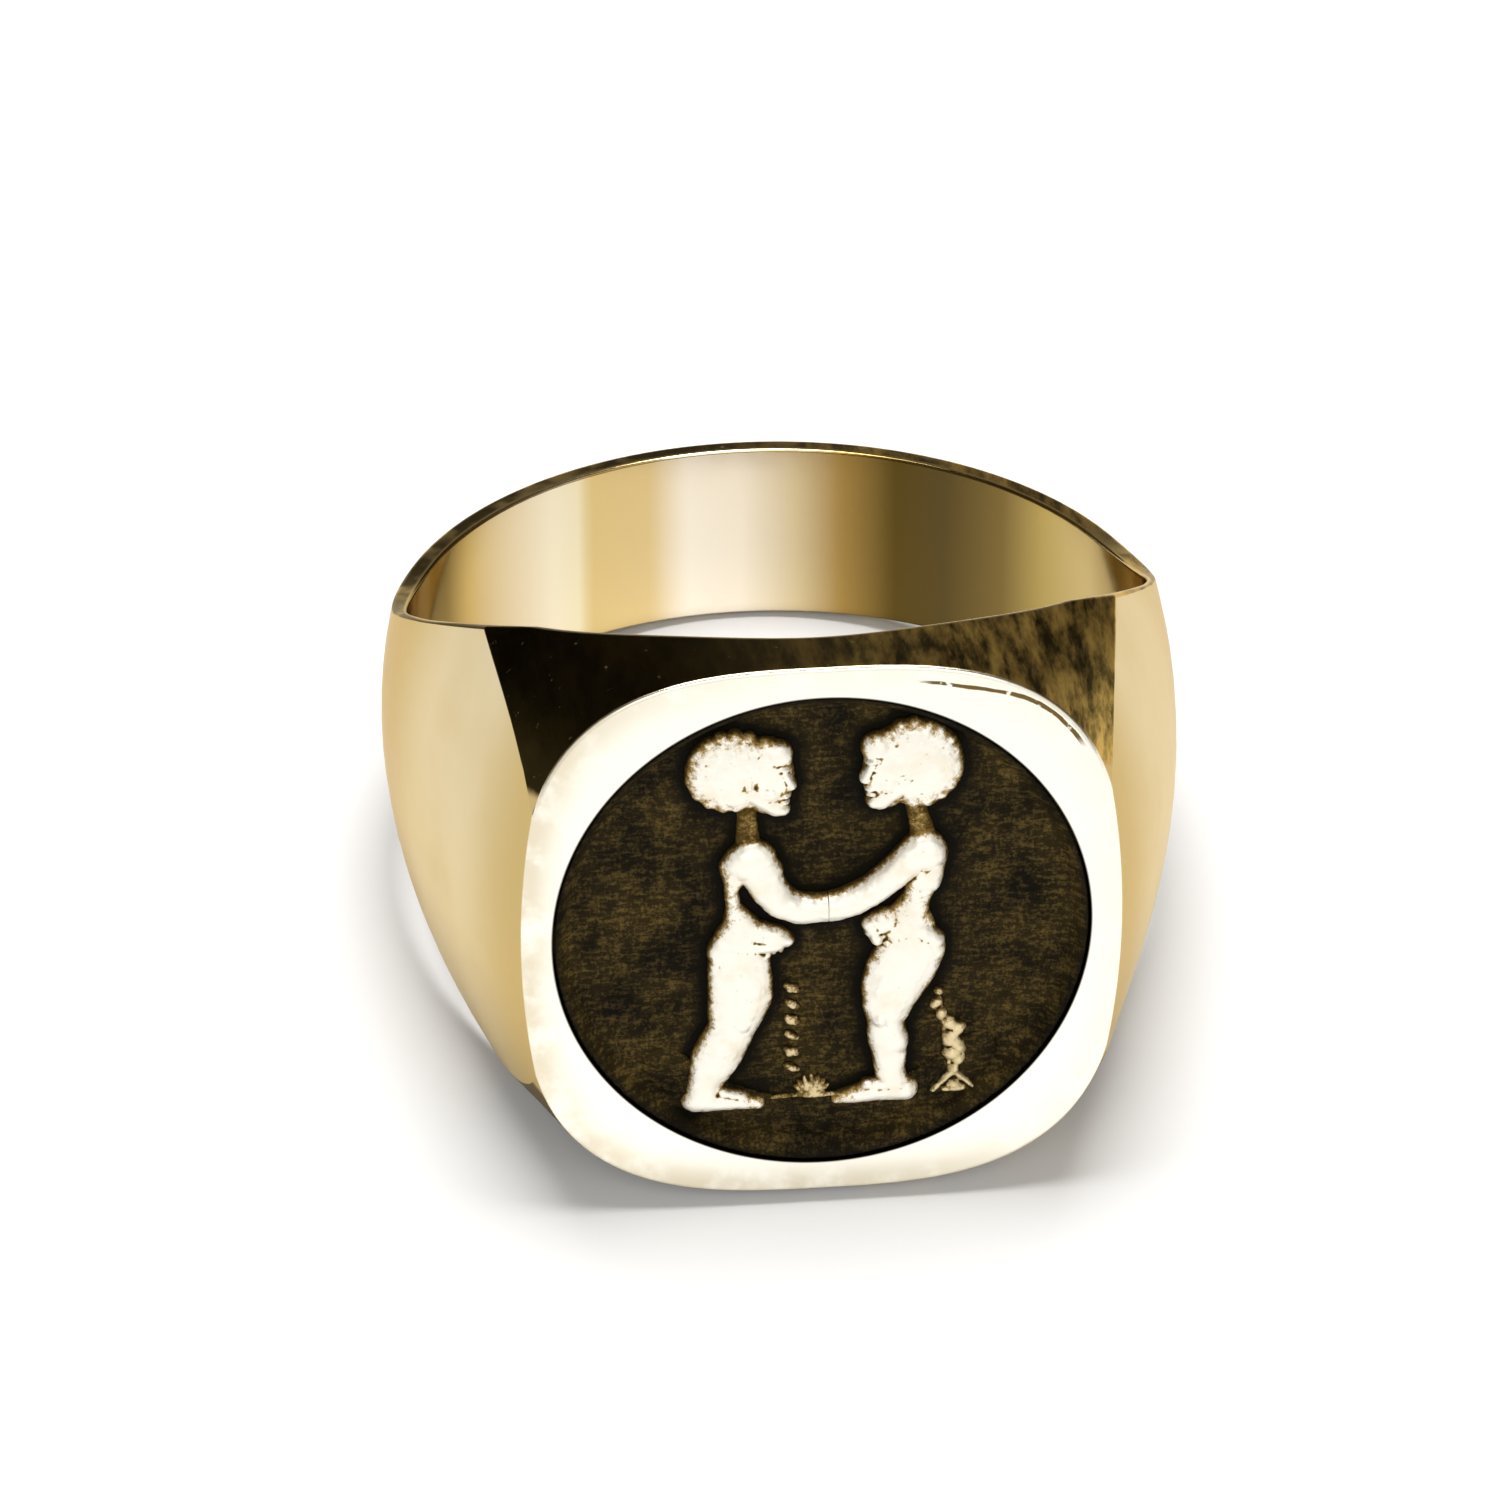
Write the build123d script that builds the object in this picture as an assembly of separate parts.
from build123d import *
import math
import os

# A cushion signet ring: cast body, and a round relief of two clasping figures set in its head.
# The pieces are drawn in the ring's own axes: the bore runs along Z and the signet face looks
# along -Y. Then the whole ring is tipped onto its side, as it comes to rest on a table, and
# its box is centred over the origin.

# --- driving dimensions, millimetres ---
bore_radius = 10.0
band_radius = 10.8          # bore axis to the outside of the band, mid-width
band_half_width = 2.62      # along the finger, at the back of the band
band_crown_radius = 14.0    # section radius of the band's outside

face_depth = 11.9           # bore axis to the plane of the signet face
face_half_width = 7.9
face_half_height = 8.0
cushion_power = 3.0         # 2 would be an oval, a large power a rectangle
face_side_radius = 24.0     # the face's left and right sides bulge on this radius

shoulder_depth = 5.5        # bore axis to the middle of a shoulder
shoulder_half_width = 10.15

side_half_width = 3.56      # half the ring's width beside the bore axis
side_slope = 0.478          # how fast the width grows towards the face

flank_half_width = 13.5     # outline that the head's flanks run towards, at the bore axis
flank_half_height = 8.3
flank_power = 4.0
flank_hollow = 1.0          # how far that outline dips across its middle

edge_round = 0.12           # softened outer edges
bore_round = 0.08           # softened edges of the bore

recess_radius = 7.1
recess_depth = 0.9
bond_thickness = 0.05
plate_radius = 7.05
plate_thickness = 0.25
ground_radius = 6.95        # leaves a fine moat round the blackened ground
ground_thickness = 0.05

figure_height = 0.42        # the two figures stand this far off the ground
plant_height = 0.22         # the small pieces beside them stand lower
mound_height = 0.12
hand_gap = 0.02             # between the two clasped hands
hand_meeting = 0.18         # where the hands meet, right of the middle
bead_radius = 0.13
bead_count = 6

bond_depth = face_depth - recess_depth
plate_depth = bond_depth + bond_thickness
ground_depth = plate_depth + plate_thickness
relief_depth = ground_depth + ground_thickness


def cushion_radius(angle, half_width, half_height, power):
    """Polar radius of a superellipse, a cushion with its corners on the diagonals."""
    across = abs(math.cos(angle) / half_width) ** power
    up = abs(math.sin(angle) / half_height) ** power
    return (across + up) ** (-1 / power)


def face_outline_radius(angle):
    return cushion_radius(angle, face_half_width, face_half_height, cushion_power)


def flank_outline_radius(angle):
    full = cushion_radius(angle, flank_half_width, flank_half_height, flank_power)
    return full - flank_hollow * math.sin(angle) ** 2


def outline_at(y, radius_of_angle):
    """A closed face across the ring at depth y, from a polar radius; its seam is at the top."""
    count = 48
    angles = [math.pi / 2 + 2 * math.pi * i / count for i in range(count)]
    points = [(radius_of_angle(a) * math.cos(a), y, radius_of_angle(a) * math.sin(a)) for a in angles]
    return make_face(Spline(*points, periodic=True))


def head_flanks():
    """The head between the face's cushion outline and a wider, flatter outline behind it."""
    front = outline_at(-face_depth, face_outline_radius)
    back = outline_at(0, flank_outline_radius)
    return loft([front, back], ruled=True)


def crowned_section(y, half_width, crown_radius):
    """A face across the ring at depth y, with bulging left and right sides."""
    top = 1.2 * face_half_height
    corner = half_width - crown_radius + math.sqrt(crown_radius**2 - top**2)
    right = ThreePointArc((corner, y, -top), (half_width, y, 0), (corner, y, top))
    over = Line((corner, y, top), (-corner, y, top))
    left = ThreePointArc((-corner, y, top), (-half_width, y, 0), (-corner, y, -top))
    under = Line((-corner, y, -top), (corner, y, -top))
    return make_face([right, over, left, under])


def shoulders():
    """Both shoulders in one solid, swelling from the face's width to the band's."""
    stations = [
        (face_depth, face_half_width, face_side_radius),
        (shoulder_depth, shoulder_half_width, band_crown_radius),
    ]
    front = [crowned_section(-y, width, crown) for y, width, crown in stations]
    middle = crowned_section(0, band_radius, band_crown_radius)
    back = [crowned_section(y, width, crown) for y, width, crown in reversed(stations)]
    return split(loft([*front, middle, *back]), Plane.XZ, keep=Keep.TOP)


def band_half():
    """The back half of the band, crowned across its width."""
    top = 2 * side_half_width
    inner = band_radius - band_crown_radius + math.sqrt(band_crown_radius**2 - top**2)
    crown = ThreePointArc((inner, 0, -top), (band_radius, 0, 0), (inner, 0, top))
    rest = Polyline((inner, 0, top), (0, 0, top), (0, 0, -top), (inner, 0, -top))
    return revolve(make_face([crown, rest]), Axis.Z, 180)


def side_limits():
    """The ring's width from face to back, as seen from one shoulder."""
    front = face_depth + 1
    back = band_radius + 1
    drop = side_half_width - band_half_width
    knee = drop / side_slope
    front_height = side_half_width + side_slope * front
    corners = [(-front, front_height), (knee, band_half_width), (back, band_half_width)]
    mirrored = [(y, -z) for y, z in reversed(corners)]
    profile = Plane.YZ * make_face(Polyline(*corners, *mirrored, close=True))
    knees = [v for v in profile.vertices() if abs(v.Y - knee) < 0.01]
    blend_radius = math.hypot(knee, drop) / math.tan(math.atan(side_slope) / 2)
    profile = fillet(knees, blend_radius)
    return extrude(profile, 2 * band_radius, both=True)


def depth_plane(depth):
    """A plane across the ring's front: x to the right, y up, facing out of the signet face."""
    return Plane((0, -depth, 0), x_dir=(1, 0, 0), z_dir=(0, -1, 0))


def disc(depth, radius, thickness):
    return depth_plane(depth) * Cylinder(
        radius, thickness, align=(Align.CENTER, Align.CENTER, Align.MIN)
    )


def soften_edges(body):
    """Round the sharp edges, as polishing leaves them; smooth joins between faces stay."""

    def lies_on(edge, distance, size):
        return all(abs(distance(edge @ t) - size) < 0.01 for t in (0.1, 0.5, 0.9))

    def smooth(edge):
        return edge.geom_type == GeomType.LINE or lies_on(edge, lambda p: abs(p.Y), 0)

    def in_bore(edge):
        return lies_on(edge, lambda p: math.hypot(p.X, p.Y), bore_radius)

    def on_recess(edge):
        return lies_on(edge, lambda p: math.hypot(p.X, p.Z), recess_radius)

    outer = [e for e in body.edges() if not smooth(e) and not in_bore(e) and not on_recess(e)]
    body = fillet(outer, edge_round)
    bore = [e for e in body.edges() if not smooth(e) and in_bore(e)]
    return fillet(bore, bore_round)


def ring_body():
    head = head_flanks() & shoulders()
    body = (head + band_half()) & side_limits()
    body -= Cylinder(bore_radius, 4 * face_half_height)
    body -= disc(bond_depth, recess_radius, 2 * recess_depth)
    return soften_edges(body)


def limb(start, start_radius, end, end_radius):
    """A tapering limb in plan: the hull of a circle at each end."""
    first = Edge.make_circle(start_radius, Plane(start))
    last = Edge.make_circle(end_radius, Plane(end))
    return make_hull([first, last])


def oval(centre, half_width, half_height, turn=0):
    return Pos(*centre) * Rot(0, 0, turn) * Ellipse(half_width, half_height)


def raised(plan, height):
    """A plan drawn on the blackened ground, raised towards the viewer."""
    return extrude(depth_plane(relief_depth) * plan, height)


def hand_side(side):
    """The half of the relief on one side of the clasped hands."""
    width = 2 * plate_radius
    middle = hand_meeting + side * (width + hand_gap) / 2
    return Pos(middle, 0) * Rectangle(width, width)


def left_twin():
    plan = oval((-2.25, 4.78), 1.32, 1.2, -12)
    plan += oval((-1.42, 4.30), 0.78, 0.95, 10)
    plan += limb((-1.90, 3.60), 0.34, (-1.85, 2.50), 0.34)
    plan += limb((-1.75, 2.02), 0.72, (-1.92, 0.55), 0.52)
    plan += limb((-1.92, 0.55), 0.52, (-1.78, -0.75), 0.80)
    plan += limb((-1.55, 2.05), 0.46, (-0.85, 0.85), 0.40)
    plan += limb((-0.85, 0.85), 0.40, (0.30, 0.50), 0.36)
    plan += oval((-1.05, -0.33), 0.50, 0.32, 15)
    plan += limb((-1.80, -0.85), 0.78, (-2.15, -2.60), 0.60)
    plan += limb((-2.15, -2.60), 0.60, (-2.95, -4.70), 0.34)
    plan += limb((-3.12, -5.18), 0.30, (-1.60, -5.40), 0.16)
    plan += limb((-2.95, -4.70), 0.34, (-3.05, -5.15), 0.34)
    return raised(plan & hand_side(-1), figure_height)


def right_twin():
    plan = oval((2.58, 4.85), 1.22, 1.25, 20)
    plan += oval((1.80, 4.45), 0.72, 0.95, -10)
    plan += limb((2.55, 3.70), 0.34, (2.72, 2.60), 0.34)
    plan += limb((2.78, 2.02), 0.70, (2.28, 0.55), 0.56)
    plan += limb((2.28, 0.55), 0.56, (2.42, -0.75), 0.84)
    plan += limb((2.72, 2.10), 0.48, (1.30, 0.92), 0.42)
    plan += limb((1.30, 0.92), 0.42, (0.05, 0.50), 0.36)
    plan += oval((1.48, 0.08), 0.46, 0.42)
    plan += limb((2.35, -0.95), 0.82, (1.85, -2.70), 0.56)
    plan += limb((1.85, -2.70), 0.56, (1.92, -4.70), 0.36)
    plan += limb((2.20, -5.12), 0.28, (0.52, -5.42), 0.16)
    plan += limb((1.92, -4.70), 0.36, (1.95, -5.10), 0.34)
    return raised(plan & hand_side(1), figure_height)


def altar_post():
    """A knobbly little post on a pointed foot, behind the right figure."""
    knobs = [((3.12, -2.35), 0.17), ((3.22, -2.75), 0.21), ((3.34, -3.18), 0.23)]
    knobs += [((3.46, -3.62), 0.25), ((3.54, -4.05), 0.27), ((3.56, -4.45), 0.24)]
    plan = limb(*knobs[0], *knobs[1])
    for lower, upper in zip(knobs[1:], knobs[2:]):
        plan += limb(*lower, *upper)
    plan += make_face(Polyline((2.92, -5.36), (4.04, -5.36), (3.72, -4.70), (3.36, -4.50), close=True))
    return raised(plan, plant_height)


def grass_tuft():
    """Three short blades between the figures' feet."""
    plan = make_face(Polyline((-0.62, -5.36), (0.16, -5.36), (-0.10, -5.00), (-0.40, -5.00), close=True))
    for tip_x, tip_z in ((-0.52, -4.84), (-0.24, -4.62), (0.06, -4.88)):
        plan += limb((-0.24, -5.16), 0.16, (tip_x, tip_z), 0.07)
    return raised(plan, plant_height)


def bead_column():
    """A plain upright row of beads between the figures."""
    top, bottom = -1.95, -4.40
    step = (bottom - top) / (bead_count - 1)
    return [
        raised(Pos(-0.82, top + i * step) * Circle(bead_radius), plant_height)
        for i in range(bead_count)
    ]


def ground_mound():
    """The low mound that the figures stand on: the foot of the disc, below a shallow line."""
    reach = 0.98 * ground_radius
    left, right = (-reach, -5.10), (reach, -5.30)
    crest = ThreePointArc(left, (0, -5.74), right)
    below = Polyline(right, (reach, -2 * reach), (-reach, -2 * reach), left)
    return raised(make_face([crest, below]) & Circle(reach), mound_height)


def rest_angle():
    """How far the bore leans back when the ring lies on the head's edge and the band's edge."""
    share = 1 - bore_radius / face_depth
    flank_top = flank_half_height - flank_hollow
    head_height = (1 - share) * face_half_height + share * flank_top
    band_drop = band_crown_radius - math.sqrt(band_crown_radius**2 - band_half_width**2)
    length = bore_radius + band_radius - band_drop
    return math.degrees(math.atan((head_height - band_half_width) / length))


pieces = {
    "ring_body": [ring_body()],
    "bond_layer": [disc(bond_depth, plate_radius, bond_thickness)],
    "relief_plate": [disc(plate_depth, plate_radius, plate_thickness)],
    "black_ground": [disc(ground_depth, ground_radius, ground_thickness)],
    "left_twin": [left_twin()],
    "right_twin": [right_twin()],
    "altar_post": [altar_post()],
    "grass_tuft": [grass_tuft()],
    "bead_column": bead_column(),
    "ground_mound": [ground_mound()],
}

tipped = {name: [Rot(-rest_angle(), 0, 0) * solid for solid in solids] for name, solids in pieces.items()}
box = tipped["ring_body"][0].bounding_box()
to_table = Pos(-box.center().X, -box.center().Y, -box.min.Z)

os.makedirs("parts", exist_ok=True)
for name, solids in tipped.items():
    placed = Compound([to_table * solid for solid in solids])
    export_step(placed, f"parts/{name}.step")

bore_centre = to_table * Pos(0, 0, 0)
print("rest angle", round(rest_angle(), 3))
print("bore centre", [round(v, 4) for v in bore_centre.position])
print("size", [round(v, 3) for v in box.size])
